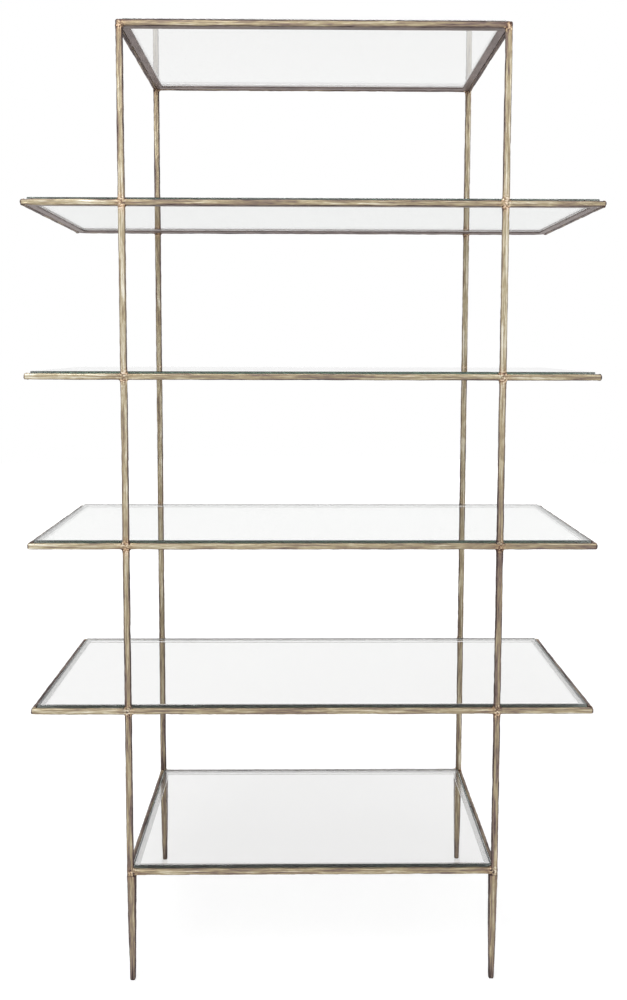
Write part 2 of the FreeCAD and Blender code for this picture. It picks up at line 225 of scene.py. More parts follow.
def hammered_bar_tree():
    """A geometry tree that forges a bar along each line of points it is given.

    Each point brings axis, its place; face_dir and side_dir, the directions of the bar's wide and
    narrow size; taper, the part of the full size that it has there; weld_plus and weld_minus, how far
    a weld swells each side; edge_plus and edge_minus, how much painted shade each narrow
    side gets; run, how far along its bar it is; and bar_seed, which tells the bars apart.
    rub_and_painted_light and weld_heat pass to the finish.
    """
    tree, given = new_geometry_tree(
        "Hammered bar", Vector=("Low Corner", "High Corner"), Int=("Seed",), Material=("Finish",),
        Float=("Bar Face", "Bar Thickness", "Bar Corner", "Dent Length", "Dent Width", "Dent Depth",
               "Waver", "Weld Leg", "Weld Lump"))
    outline = add(tree, "GeometryNodeCurvePrimitiveQuadrilateral",
                  {"Width": given["Bar Face"], "Height": given["Bar Thickness"]})
    outline = add(tree, "GeometryNodeFilletCurve",
                  {"Curve": outline, "Radius": given["Bar Corner"], "Count": 4}, mode="POLY")
    outline = add(tree, "GeometryNodeResampleCurve", {"Curve": outline, "Count": OUTLINE_POINTS},
                  mode="COUNT")
    place = add(tree, "GeometryNodeInputPosition")
    outline = add(tree, "GeometryNodeStoreNamedAttribute",
                  {"Geometry": outline, "Name": "section", "Value": place},
                  data_type="FLOAT_VECTOR", domain="POINT")
    path = add(tree, "GeometryNodeMeshToCurve", {"Mesh": given["Geometry"]})
    bar = add(tree, "GeometryNodeCurveToMesh",
              {"Curve": path, "Profile Curve": outline, "Fill Caps": True})
    read = {
        name: add(tree, "GeometryNodeInputNamedAttribute", {"Name": name}, data_type="FLOAT_VECTOR")
        for name in ("section", "axis", "face_dir", "side_dir", "taper", "weld_plus", "weld_minus")}
    run, bar_seed, heat, edge_plus, edge_minus = [
        add(tree, "GeometryNodeInputNamedAttribute", {"Name": name}, data_type="FLOAT")
        for name in ("run", "bar_seed", "weld_heat", "edge_plus", "edge_minus")]
    seed = add(tree, "ShaderNodeMath", {0: bar_seed, 1: given["Seed"]}, operation="ADD")

    # the section with its taper, and the weld that swells it on one side or both
    size = add(tree, "ShaderNodeCombineXYZ",
               {"X": given["Bar Face"], "Y": given["Bar Thickness"], "Z": 1.0})
    part = add(tree, "ShaderNodeVectorMath", {0: read["section"], 1: size}, operation="DIVIDE")
    part = add(tree, "ShaderNodeVectorMath", {0: part, "Scale": 2.0}, operation="SCALE")
    swell = []
    for half, weld in (("MAXIMUM", "weld_plus"), ("MINIMUM", "weld_minus")):
        side = add(tree, "ShaderNodeVectorMath", {0: part, 1: (0, 0, 0)}, operation=half)
        side = add(tree, "ShaderNodeVectorMath", {0: side, 1: side}, operation="MULTIPLY")
        swell.append(add(tree, "ShaderNodeVectorMath", {0: side, 1: read[weld]}, operation="MULTIPLY"))
    swell = add(tree, "ShaderNodeVectorMath", {0: swell[0], 1: swell[1]}, operation="SUBTRACT")
    shape = add(tree, "ShaderNodeVectorMath", {0: read["section"], 1: read["taper"], 2: swell},
                operation="MULTIPLY_ADD")
    face, side, _ = add(tree, "ShaderNodeSeparateXYZ", {0: shape}).node.outputs
    # a weld fillet is narrower than the bar it grows from
    stand_out = add(tree, "ShaderNodeMath", {0: add(tree, "ShaderNodeSeparateXYZ", {0: swell})},
                    operation="ABSOLUTE")
    slim = add(tree, "ShaderNodeMapRange",
               {"Value": stand_out, "From Max": given["Weld Leg"], "To Min": 1.0, "To Max": 0.6})
    side = add(tree, "ShaderNodeMath", {0: side, 1: slim}, operation="MULTIPLY")

    # the middle of the bar wanders a little, back and forth in about 70 mm
    place = add(tree, "ShaderNodeCombineXYZ", {"X": run, "Y": seed})
    place = add(tree, "ShaderNodeVectorMath", {0: place, 1: (14.0, 7.3, 0.0)}, operation="MULTIPLY")
    sway = add(tree, "ShaderNodeTexNoise", {"Vector": place, "Scale": 1.0, "Detail": 1.0}, "Color",
               noise_dimensions="2D")
    sway = add(tree, "ShaderNodeVectorMath", {0: sway, 1: (0.5, 0.5, 0.5)}, operation="SUBTRACT")
    sway = add(tree, "ShaderNodeVectorMath", {0: sway, "Scale": given["Waver"]}, operation="SCALE")
    sway_face, sway_side, _ = add(tree, "ShaderNodeSeparateXYZ", {0: sway}).node.outputs
    face = add(tree, "ShaderNodeMath", {0: face, 1: sway_face}, operation="ADD")
    side = add(tree, "ShaderNodeMath", {0: side, 1: sway_side}, operation="ADD")
    out_face = add(tree, "ShaderNodeVectorMath", {0: read["face_dir"], "Scale": face}, operation="SCALE")
    out_side = add(tree, "ShaderNodeVectorMath", {0: read["side_dir"], "Scale": side}, operation="SCALE")
    place = add(tree, "ShaderNodeVectorMath", {0: out_face, 1: out_side}, operation="ADD")
    place = add(tree, "ShaderNodeVectorMath", {0: place, 1: read["axis"]}, operation="ADD")
    bar = add(tree, "GeometryNodeSetPosition", {"Geometry": bar, "Position": place})

    # long shallow dents in wavering rows, each one a facet with its own depth and lean
    surface = add(tree, "ShaderNodeCombineXYZ", {"X": run, "Y": face, "Z": side})
    dent_size = add(tree, "ShaderNodeCombineXYZ",
                    {"X": given["Dent Length"], "Y": given["Dent Width"], "Z": given["Dent Width"]})
    grid = add(tree, "ShaderNodeVectorMath", {0: surface, 1: dent_size}, operation="DIVIDE")
    wander = add(tree, "ShaderNodeTexNoise", {"Vector": surface, "Scale": 45.0, "Detail": 1.0}, "Color")
    grid = add(tree, "ShaderNodeVectorMath", {0: wander, 1: (0.7, 0.7, 0.7), 2: grid},
               operation="MULTIPLY_ADD")
    shift = add(tree, "ShaderNodeCombineXYZ",
                {"X": add(tree, "ShaderNodeMath", {0: seed, 1: 23.7}, operation="MULTIPLY")})
    grid = add(tree, "ShaderNodeVectorMath", {0: grid, 1: shift}, operation="ADD")
    cells = {"Vector": grid, "Scale": 1.0, "Randomness": 0.95}
    cell = add(tree, "ShaderNodeTexVoronoi", cells).node.outputs
    rim = add(tree, "ShaderNodeTexVoronoi", cells, "Distance", feature="DISTANCE_TO_EDGE")
    bowl = add(tree, "ShaderNodeMapRange", {"Value": rim, "From Max": 0.26},
               interpolation_type="SMOOTHSTEP")
    chance, tone, _ = add(tree, "ShaderNodeSeparateXYZ", {0: cell["Color"]}).node.outputs
    lean = add(tree, "ShaderNodeVectorMath", {0: cell["Color"], 1: (0.5, 0.5, 0.5)}, operation="SUBTRACT")
    reach = add(tree, "ShaderNodeVectorMath", {0: grid, 1: cell["Position"]}, operation="SUBTRACT")
    slope = add(tree, "ShaderNodeVectorMath", {0: reach, 1: lean}, "Value", operation="DOT_PRODUCT")
    deep = add(tree, "ShaderNodeMath", {0: chance, 1: 0.65, 2: 0.3}, operation="MULTIPLY_ADD")
    deep = add(tree, "ShaderNodeMath", {0: slope, 1: 0.9, 2: deep}, operation="MULTIPLY_ADD",
               use_clamp=True)
    dent = add(tree, "ShaderNodeMath", {0: bowl, 1: deep}, operation="MULTIPLY")
    dent = add(tree, "ShaderNodeMath", {0: dent, 1: given["Dent Depth"]}, operation="MULTIPLY")
    # weld metal stands out in lumps of about 5 mm where the bars cross
    near = add(tree, "ShaderNodeMath", {0: heat, 1: heat}, operation="MULTIPLY")
    lump = add(tree, "ShaderNodeTexNoise", {"Vector": surface, "Scale": 210.0, "Detail": 1.0})
    lump = add(tree, "ShaderNodeMapRange",
               {"Value": lump, "From Min": 0.38, "From Max": 0.62, "To Max": near})
    lump = add(tree, "ShaderNodeMath", {0: lump, 1: given["Weld Lump"]}, operation="MULTIPLY")
    out = add(tree, "ShaderNodeMath", {0: lump, 1: dent}, operation="SUBTRACT")
    out = add(tree, "ShaderNodeVectorMath", {0: add(tree, "GeometryNodeInputNormal"), "Scale": out},
              operation="SCALE")
    place = add(tree, "ShaderNodeVectorMath", {0: add(tree, "GeometryNodeInputPosition"), 1: out},
                operation="ADD")
    # the outermost lumps are filed flush with the frame
    place = add(tree, "ShaderNodeVectorMath", {0: place, 1: given["Low Corner"]}, operation="MAXIMUM")
    place = add(tree, "ShaderNodeVectorMath", {0: place, 1: given["High Corner"]}, operation="MINIMUM")
    bar = add(tree, "GeometryNodeSetPosition", {"Geometry": bar, "Position": place})

    # what the finish reads: the place on the bar, the dents, and the painted shade of the narrow sides,
    # which grows with how far round on one it is
    far = add(tree, "ShaderNodeMath", {0: seed, 1: 3.1, 2: run}, operation="MULTIPLY_ADD")
    lay = add(tree, "ShaderNodeCombineXYZ", {"X": far, "Y": face, "Z": side})
    across = add(tree, "ShaderNodeSeparateXYZ", {0: part})
    narrow = [add(tree, "ShaderNodeMapRange",
                  {"Value": across, "From Min": 0.64 * way, "From Max": 0.88 * way, "To Max": edge})
              for way, edge in ((1, edge_plus), (-1, edge_minus))]
    narrow = add(tree, "ShaderNodeMath", {0: narrow[0], 1: narrow[1]}, operation="ADD")
    for name, kind, value in (("lay", "FLOAT_VECTOR", lay), ("facet", "FLOAT", tone),
                              ("bowl", "FLOAT", bowl), ("narrow", "FLOAT", narrow)):
        bar = add(tree, "GeometryNodeStoreNamedAttribute", {"Geometry": bar, "Name": name, "Value": value},
                  data_type=kind, domain="POINT")
    end_geometry_tree(tree, bar, given["Finish"])
    return tree


def tack_weld_tree():
    """A geometry tree that lays a rippled bead of weld at each point, turned as the point says."""
    tree, given = new_geometry_tree(
        "Tack welds", Float=("Tack Length", "Tack Width", "Ripple"), Material=("Finish",))
    bead = add(tree, "GeometryNodeMeshUVSphere", {"Segments": 14, "Rings": 9, "Radius": 0.5})
    size = add(tree, "ShaderNodeCombineXYZ",
               {"X": given["Tack Length"], "Y": given["Tack Width"],
                "Z": add(tree, "ShaderNodeMath", {0: given["Tack Width"], 1: 0.5}, operation="MULTIPLY")})
    turn = add(tree, "GeometryNodeInputNamedAttribute", {"Name": "turn"}, data_type="FLOAT_VECTOR")
    beads = add(tree, "GeometryNodeInstanceOnPoints",
                {"Points": given["Geometry"], "Instance": bead, "Rotation": turn, "Scale": size})
    beads = add(tree, "GeometryNodeRealizeInstances", {"Geometry": beads})
    # ripples of about 2.4 mm, as the torch was moved along
    rough = add(tree, "ShaderNodeTexNoise", {"Scale": 420.0, "Detail": 1.0})
    swell = add(tree, "ShaderNodeMath", {0: rough, 1: given["Ripple"]}, operation="MULTIPLY")
    out = add(tree, "ShaderNodeVectorMath", {0: add(tree, "GeometryNodeInputNormal"), "Scale": swell},
              operation="SCALE")
    beads = add(tree, "GeometryNodeSetPosition", {"Geometry": beads, "Offset": out})
    end_geometry_tree(tree, beads, given["Finish"])
    return tree


# ---------------------------------------------------------------- hammered bar: the lines it follows

@dataclass
class Bar:
    """One bar: its CAD node, its ends, the direction of its wide side, and what happens along it.

    A weld is (end, edge), each 1 or -1; welds widen the bar's face, and side_welds its narrow side.
    joints are the distances from the start where it was welded. rub_and_painted_light says how bright
    the bar is from its start to its end: the cloth's wear, with painted highlight where the lamps catch
    the bar and painted shade where they miss it. edges says how much painted shade its two narrow sides
    get, and spatter how much of the weld's marks the file left. section holds the part of the full size
    from the start to the end, in even steps, and draw the part that a free end loses.
    """

    node: str
    start: Vector
    end: Vector
    face_dir: Vector
    rub_and_painted_light: Sequence
    edges: Sequence = (1.0, 1.0)
    welds: Sequence = ()
    side_welds: Sequence = ()
    joints: Sequence = ()
    open_ends: bool = False
    section: Sequence = ((1.0, 1.0), (1.0, 1.0))
    draw: float = 0.0
    spatter: float = 1.0


# a bar with no open ends runs this far into its neighbours
OVERRUN = 0.002
# the stretch at a bar's ends with closer rings, as a part of a weld's reach, and the steps in it
FINE_PART = 1.3
FINE_STEPS = 12
# a fillet starts this far into its curve, because its very edge is too sharp to lay
FILLET_START = 0.0005


def ring_places(reach, step, overrun, fine):
    """Distances along a bar for its rings of points, closer together near its ends."""
    near = [fine * i / FINE_STEPS for i in range(FINE_STEPS + 1)]
    count = max(2, round((reach - 2 * fine) / step))
    far = [fine + (reach - 2 * fine) * i / count for i in range(1, count)]
    places = near + far + [reach - distance for distance in reversed(near)]
    return [-overrun, *places, reach + overrun] if overrun else places


def fillet_reach(distance, leg):
    """How far a concave weld fillet stands out at a distance from its joint."""
    inside = min(max(distance + FILLET_START, 0.0), leg)
    return leg - math.sqrt(max(leg * leg - (leg - inside) ** 2, 0.0))


def blended(values, part):
    """The value at a part of the way along a row of evenly spaced values."""
    place = part * (len(values) - 1)
    first = min(int(place), len(values) - 2)
    return values[first] + (values[first + 1] - values[first]) * (place - first)


def rounded_off(distance, radius):
    """How much narrower a free end is at a distance from it, both sides together."""
    inset = min(distance / radius, 1)
    return 2 * radius * (1 - math.sqrt(1 - (1 - inset) ** 2))


def path_mesh(name, bars, sizes, size):
    """Lays each bar down as a line of points that carry what the geometry tree reads."""
    picker = random.Random(sizes.seed)
    places, edges = [], []
    vectors, numbers = defaultdict(list), defaultdict(list)
    for bar in bars:
        reach = (bar.end - bar.start).length
        along = (bar.end - bar.start) / reach
        side_dir = along.cross(bar.face_dir)
        seed = picker.uniform(0, 40)
        # no two fillets are laid to quite the same size
        legs = {(sort, weld): sizes.weld_leg * picker.uniform(0.8, 1.0)
                for sort, welds in enumerate((bar.welds, bar.side_welds)) for weld in welds}
        overrun = 0 if bar.open_ends else OVERRUN
        rings = ring_places(reach, sizes.ring_step, overrun, sizes.weld_leg * FINE_PART)
        for ring, distance in enumerate(rings):
            part = min(max(distance / reach, 0), 1)
            if ring:
                edges.append((len(places) - 1, len(places)))
            place = bar.start + along * distance
            places.append(place)
            shrink = (0.0, 0.0)
            dull = 0.0
            if bar.open_ends:
                tip = min(distance, reach - distance)
                dull = sizes.tip_dull * max(1 - tip / sizes.tip_round, 0)
                drawn = bar.draw * size[0] * max(1 - tip / sizes.tip_draw, 0) ** 2
                shrink = (rounded_off(tip, sizes.tip_round) + drawn, rounded_off(tip, sizes.bar_round))
            swell = {1: [0, 0, 0], -1: [0, 0, 0]}
            for (sort, (end, edge)), leg in legs.items():
                inset = distance if end < 0 else reach - distance
                swell[edge][sort] = max(swell[edge][sort], fillet_reach(inset, leg))
            taper = [blended([end[way] for end in bar.section], part) - shrink[way] / size[way]
                     for way in (0, 1)]
            heat = max(math.exp(-abs(distance - joint) / sizes.heat_reach) for joint in bar.joints)
            for key, vector in (("axis", place), ("face_dir", bar.face_dir), ("side_dir", side_dir),
                                ("taper", (*taper, 0)), ("weld_plus", swell[1]),
                                ("weld_minus", swell[-1])):
                vectors[key].extend(vector)
            for key, number in (("run", distance), ("bar_seed", seed), ("weld_heat", bar.spatter * heat),
                                ("rub_and_painted_light", blended(bar.rub_and_painted_light, part) - dull),
                                ("edge_plus", bar.edges[0]), ("edge_minus", bar.edges[1])):
                numbers[key].append(number)
    mesh = bpy.data.meshes.new(name)
    mesh.from_pydata(places, edges, [])
    for key, flat in vectors.items():
        mesh.attributes.new(key, "FLOAT_VECTOR", "POINT").data.foreach_set("vector", flat)
    for key, flat in numbers.items():
        mesh.attributes.new(key, "FLOAT", "POINT").data.foreach_set("value", flat)
    return mesh


def place_mesh(name, mesh):
    """Links a finished mesh as an object at the origin."""
    piece = bpy.data.objects.new(name, mesh)
    bpy.context.scene.collection.objects.link(piece)
    return piece


def run_tree(name, mesh, tree, values):
    """Runs a geometry tree on a mesh and gives the outcome as a plain mesh object."""
    carrier = place_mesh(name + "_lines", mesh)
    modifier = carrier.modifiers.new(tree.name, "NODES")
    modifier.node_group = tree
    for item in tree.interface.items_tree:
        if item.item_type == "SOCKET" and item.in_out == "INPUT" and item.name in values:
            modifier[item.identifier] = values[item.name]
    graph = bpy.context.evaluated_depsgraph_get()
    made = bpy.data.meshes.new_from_object(
        carrier.evaluated_get(graph), preserve_all_data_layers=True, depsgraph=graph)
    bpy.data.objects.remove(carrier)
    used_up = {"axis", "section", "face_dir", "side_dir", "taper", "weld_plus", "weld_minus", "run",
               "bar_seed", "edge_plus", "edge_minus", "turn"}
    for key in used_up.intersection(made.attributes.keys()):
        made.attributes.remove(made.attributes[key])
    return place_mesh(name, made)


def forge(name, bars, face):
    """Makes one piece of hammered bars, which stands for their CAD nodes."""
    sizes = bpy.context.scene.etagere_sizes
    thickness = sizes.bar_thickness
    tree = bpy.data.node_groups.get("Hammered bar") or hammered_bar_tree()
    piece = run_tree(name, path_mesh(name, bars, sizes, (face, thickness)), tree, {
        "Bar Face": face, "Bar Thickness": thickness, "Bar Corner": sizes.bar_round,
        "Dent Length": sizes.dent_length, "Dent Width": sizes.dent_width, "Dent Depth": sizes.dent_depth,
        "Waver": sizes.waver, "Weld Leg": sizes.weld_leg, "Weld Lump": sizes.weld_lump,
        "Low Corner": CAD_BOX[0], "High Corner": CAD_BOX[1], "Seed": sizes.seed,
        "Finish": finish(antique_brass_on_hammered_iron),
    })
    nodes = [bar.node for bar in bars]
    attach(piece, STAND)
    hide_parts(*nodes)


# ---------------------------------------------------------------- finishes

def finish(fill):
    """The material that one of the functions below fills with nodes, made when it is first asked for."""
    material = bpy.data.materials.get(fill.__name__)
    if material is None:
        material = bpy.data.materials.new(fill.__name__)
        material.use_nodes = True
        material.node_tree.nodes.clear()
        fill(material.node_tree, bpy.context.scene.etagere_colours)
    return material


def antique_brass_on_hammered_iron(tree, colours):
    """Antique brass on hammered iron: a brass wash, dark in the dents and rubbed back on the ridges, with
    painted shade on the narrow sides and painted highlight in the streaks.
    """
    lay = add(tree, "ShaderNodeAttribute", None, "Vector", attribute_name="lay")
    facet, bowl, heat, rub_and_painted_light, narrow = [
        add(tree, "ShaderNodeAttribute", None, "Fac", attribute_name=name)
        for name in ("facet", "bowl", "weld_heat", "rub_and_painted_light", "narrow")]
    # streaks of about 3 mm by 80 mm that follow the bar: the cloth's wear, and painted highlight standing
    # for the streaky reflections of the hammered faces
    place = add(tree, "ShaderNodeVectorMath", {0: lay, 1: (12.5, 330.0, 330.0)}, operation="MULTIPLY")
    streak = add(tree, "ShaderNodeTexNoise", {"Vector": place, "Scale": 1.0, "Detail": 2.0})
    # scratches of about 1 mm by 15 mm, coarser than the real ones so that they show
    place = add(tree, "ShaderNodeVectorMath", {0: lay, 1: (65.0, 900.0, 900.0)}, operation="MULTIPLY")
    scratch = add(tree, "ShaderNodeTexNoise",
                  {"Vector": place, "Scale": 1.0, "Detail": 2.0, "Roughness": 0.6})
    # clouds of about 50 mm where the patina took more or less
    cloud = add(tree, "ShaderNodeTexNoise", {"Vector": lay, "Scale": 20.0, "Detail": 2.0})
    # grit of about 0.8 mm, the scale left by the forge, coarser than the real one so that it shows
    grit = add(tree, "ShaderNodeTexNoise", {"Vector": lay, "Scale": 1250.0, "Detail": 2.0})

    # ripples of about 4 mm in the weld metal: the bright ones painted highlight on the weld lumps, the
    # dark ones the black of the weld
    ripple = add(tree, "ShaderNodeTexNoise",
                 {"Vector": lay, "Scale": 230.0, "Detail": 2.0, "Roughness": 0.6})
    ripple = add(tree, "ShaderNodeMapRange",
                 {"Value": ripple, "From Min": 0.38, "From Max": 0.62, "To Min": -0.55, "To Max": 0.7})
    weld = add(tree, "ShaderNodeMath", {0: heat, 1: heat}, operation="MULTIPLY")
    weld = add(tree, "ShaderNodeMath", {0: ripple, 1: weld}, operation="MULTIPLY")

    # how bright the metal is: rub_and_painted_light, streaks that are partly painted highlight, scratches,
    # facets, dull in the dents' rims, and painted shade on its narrow sides
    tone = rub_and_painted_light
    for mark, share in ((streak, 1.5), (scratch, 0.6), (facet, 0.15), (bowl, 0.06), (narrow, -0.45)):
        tone = add(tree, "ShaderNodeMath", {0: mark, 1: share, 2: tone}, operation="MULTIPLY_ADD")
    tone = add(tree, "ShaderNodeMath", {0: tone, 1: weld}, operation="ADD")
    # 1.17 is what the patterns add on average, so that rub_and_painted_light by itself says how bright a
    # bar is
    tone = add(tree, "ShaderNodeMath", {0: tone, 1: 1.17}, operation="SUBTRACT", use_clamp=True)
    shade = add(tree, "ShaderNodeValToRGB", {"Fac": tone})
    stops = shade.node.color_ramp.elements
    steps = ((0.0, colours.oxide_and_shade), (0.2, colours.umber_shade), (0.42, colours.patina), (0.62, colours.gold),
             (0.82, colours.rubbed), (1.0, colours.bright))
    for position, _ in steps[1:-1]:
        stops.new(position)
    for stop, (position, value) in zip(stops, steps):
        stop.position = position
        stop.color = opaque(value)
    # heat tint, in clouds beside the welds
    tint = add(tree, "ShaderNodeMapRange",
               {"Value": cloud, "From Min": 0.36, "From Max": 0.56, "To Max": 0.7})
    tint = add(tree, "ShaderNodeMath", {0: tint, 1: heat}, operation="MULTIPLY")
    base = add(tree, "ShaderNodeMix", {0: tint, 6: shade, 7: opaque(colours.weld_tint)}, 2,
               data_type="RGBA", blend_type="MULTIPLY")
    rough = add(tree, "ShaderNodeMapRange", {"Value": tone, "To Min": 0.52, "To Max": 0.34})
    rough = add(tree, "ShaderNodeMath", {0: grit, 1: 0.1, 2: rough}, operation="MULTIPLY_ADD")
    height = add(tree, "ShaderNodeMath", {0: grit, 1: 0.3, 2: scratch}, operation="MULTIPLY_ADD")
    bump = add(tree, "ShaderNodeBump", {"Strength": 0.45, "Distance": 0.0004, "Height": height})
    shader = add(tree, "ShaderNodeBsdfPrincipled",
                 {"Base Color": base, "Metallic": 0.75, "Roughness": rough, "Normal": bump})
    add(tree, "ShaderNodeOutputMaterial", {"Surface": shader})


def bronzed_mild_steel_strip(tree, colours):
    """Bronzed mild steel strip: rolled smooth and coloured dark, in clouds, with a fine grit."""
    place = add(tree, "ShaderNodeTexCoord", None, "Object")
    # clouds of about 40 mm in the bronzing, and grit of about 1 mm
    cloud = add(tree, "ShaderNodeTexNoise",
                {"Vector": place, "Scale": 24.0, "Detail": 4.0, "Roughness": 0.6})
    grit = add(tree, "ShaderNodeTexNoise", {"Vector": place, "Scale": 900.0, "Detail": 2.0})
    depth = add(tree, "ShaderNodeMapRange", {"Value": cloud, "From Min": 0.32, "From Max": 0.68})
    light, dark = opaque(colours.ledge_bronze), opaque(colours.ledge_bronze, 0.66)
    base = add(tree, "ShaderNodeMix", {0: depth, 6: dark, 7: light}, 2, data_type="RGBA")
    rough = add(tree, "ShaderNodeMapRange", {"Value": grit, "To Min": 0.4, "To Max": 0.58})
    bump = add(tree, "ShaderNodeBump", {"Strength": 0.4, "Distance": 0.0003, "Height": grit})
    shader = add(tree, "ShaderNodeBsdfPrincipled",
                 {"Base Color": base, "Metallic": 0.6, "Roughness": rough, "Normal": bump})
    add(tree, "ShaderNodeOutputMaterial", {"Surface": shader})


def clear_float_glass(tree, colours):
    """Clear float glass: smooth faces, and edges ground to a satin that shows the green of its length."""
    ground = add(tree, "ShaderNodeAttribute", None, "Fac", attribute_name="ground")
    rough = add(tree, "ShaderNodeMapRange", {"Value": ground, "To Max": 0.65})
    shader = add(tree, "ShaderNodeBsdfPrincipled",
                 {"Base Color": opaque(colours.glass_face), "Roughness": rough, "IOR": 1.52,
                  "Transmission Weight": 1.0})
    body = add(tree, "ShaderNodeVolumeAbsorption", {"Color": opaque(colours.glass_body), "Density": 7.0})
    add(tree, "ShaderNodeOutputMaterial", {"Surface": shader, "Volume": body})


def aluminium_faced_glazing_tape(tree, colours):
    """Aluminium-faced glazing tape: a bright, nearly white foil with a fine grain from its rolls."""
    place = add(tree, "ShaderNodeTexCoord", None, "Object")
    # a grain of about 1 mm, and clouds of about 30 mm where the tape is pressed
    grain = add(tree, "ShaderNodeTexVoronoi", {"Vector": place, "Scale": 900.0}, "Distance")
    cloud = add(tree, "ShaderNodeTexNoise", {"Vector": place, "Scale": 30.0})
    depth = add(tree, "ShaderNodeMapRange", {"Value": cloud, "From Min": 0.3, "From Max": 0.7})
    clean, dull = opaque(colours.tape), opaque(colours.tape, 0.97)
    base = add(tree, "ShaderNodeMix", {0: depth, 6: dull, 7: clean}, 2, data_type="RGBA")
    bump = add(tree, "ShaderNodeBump", {"Strength": 0.3, "Distance": 0.0002, "Height": grain})
    shader = add(tree, "ShaderNodeBsdfPrincipled",
                 {"Base Color": base, "Metallic": 1.0, "Roughness": 0.2, "Normal": bump})
    add(tree, "ShaderNodeOutputMaterial", {"Surface": shader})


def seen_directly(tree):
    """1 for rays that show the background: those of the camera, and those mirrored or let through."""
    path = add(tree, "ShaderNodeLightPath").node.outputs
    seen = add(tree, "ShaderNodeMath", {0: path["Is Camera Ray"], 1: path["Is Glossy Ray"]},
               operation="MAXIMUM")
    return add(tree, "ShaderNodeMath", {0: seen, 1: path["Is Transmission Ray"]}, operation="MAXIMUM")


def white_studio_floor(tree, colours):
    """White studio floor: matt paint that keeps the soft shadow of what stands on it."""
    place = add(tree, "ShaderNodeTexCoord", None, "Object")
    # it gives off a little less light near the stand, and meets the world with no line further out
    away = add(tree, "ShaderNodeVectorMath", {0: place}, "Value", operation="LENGTH")
    glow = add(tree, "ShaderNodeMapRange",
               {"Value": away, "From Min": 0.5, "From Max": 5.0, "To Min": 0.78, "To Max": 1.0})
    glow = add(tree, "ShaderNodeMath", {0: glow, 1: seen_directly(tree)}, operation="MULTIPLY")
    matt = add(tree, "ShaderNodeBsdfDiffuse", {"Color": opaque(colours.floor, 0.42)})
    light = add(tree, "ShaderNodeEmission", {"Color": (1, 1, 1, 1), "Strength": glow})
    shader = add(tree, "ShaderNodeAddShader", {0: matt, 1: light})
    add(tree, "ShaderNodeOutputMaterial", {"Surface": shader})


# ---------------------------------------------------------------- pieces

def rail_line(shelf, side):
    """The bar of one rail, from its CAD node's place."""
    node = f"rail_{side}_{shelf}"
    low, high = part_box(node)
    x, y, _ = (low + high) / 2
    level = shelf_level(shelf)
    # fillets against the posts: under the top frame's side rails, and on all rails of the lowest frame
    welds = {1: ((-1, -1), (1, -1)), 6: ((-1, 1), (1, 1))}.get(shelf, ())
    if side in SIDES:
        # painted shade on the tops and undersides of the side rails
        edges = {1: (1.0, 0.6), 2: (1.0, 0.6), 6: (0.35, 0.4)}.get(shelf, (0.5, 0.6))
        rub_and_painted_light = (0.4, 0.42, 0.4) if shelf in (1, 2, 6) else (0.3, 0.32, 0.3)
        return Bar(node, Vector((x, low.y, level)), Vector((x, high.y, level)), UP, rub_and_painted_light=rub_and_painted_light,
                   edges=edges, welds=welds, joints=(0, high.y - low.y))
    # painted shade on the narrow sides of the front rails: heavy on the tops of the two highest frames,
    # which are seen from below, and on the undersides of the lower frames, whose tops, lit from above, get
    # almost none
    edges = {1: (3.0, 0.5), 2: (1.6, 0.8)}.get(shelf, (0.1, 1.0))
    start, end = Vector((low.x, y, level)), Vector((high.x, y, level))
    # the brighter left ends of the second to fifth rails are painted highlight, where the key lamp on the
    # left is mirrored
    rub_and_painted_light = {1: (0.5, 0.48, 0.46), 2: (0.74, 0.54, 0.54, 0.54, 0.54), 3: (0.86, 0.52, 0.5, 0.53, 0.6),
           4: (0.72, 0.56, 0.55, 0.55, 0.48), 5: (0.64, 0.56, 0.55, 0.53, 0.46), 6: (0.54, 0.54)}[shelf]
    if side == "back":
        rub_and_painted_light = (0.45, 0.43) if shelf < 4 else (0.62, 0.6)
    if shelf == LOWEST_SHELF:
        return Bar(node, start, end, UP, rub_and_painted_light=rub_and_painted_light, edges=edges, welds=welds, joints=(0, end.x - start.x))
    joints = [middle(f"post_front_{post}_1").x - start.x for post in SIDES]
    # the smith drew the tips of the second frame down the most
    draw = 0.3 if shelf == 2 else 0.06
    return Bar(node, start, end, UP, rub_and_painted_light=rub_and_painted_light, edges=edges, joints=joints, open_ends=True, draw=draw)


class ETAGERE_OT_rails(bpy.types.Operator):
    """Forges the rails of the six shelf frames"""

    bl_idname = "etagere.rails"
    bl_label = "Hammered rails"

    def execute(self, context):
        groups = {"front_rails": ("front",), "back_rails": ("back",), "side_rails": ("left", "right")}
        for name, sides in groups.items():
            bars = [rail_line(shelf, side) for shelf in SHELVES for side in sides]
            forge(name, bars, context.scene.etagere_sizes.rail_face)
        return {"FINISHED"}


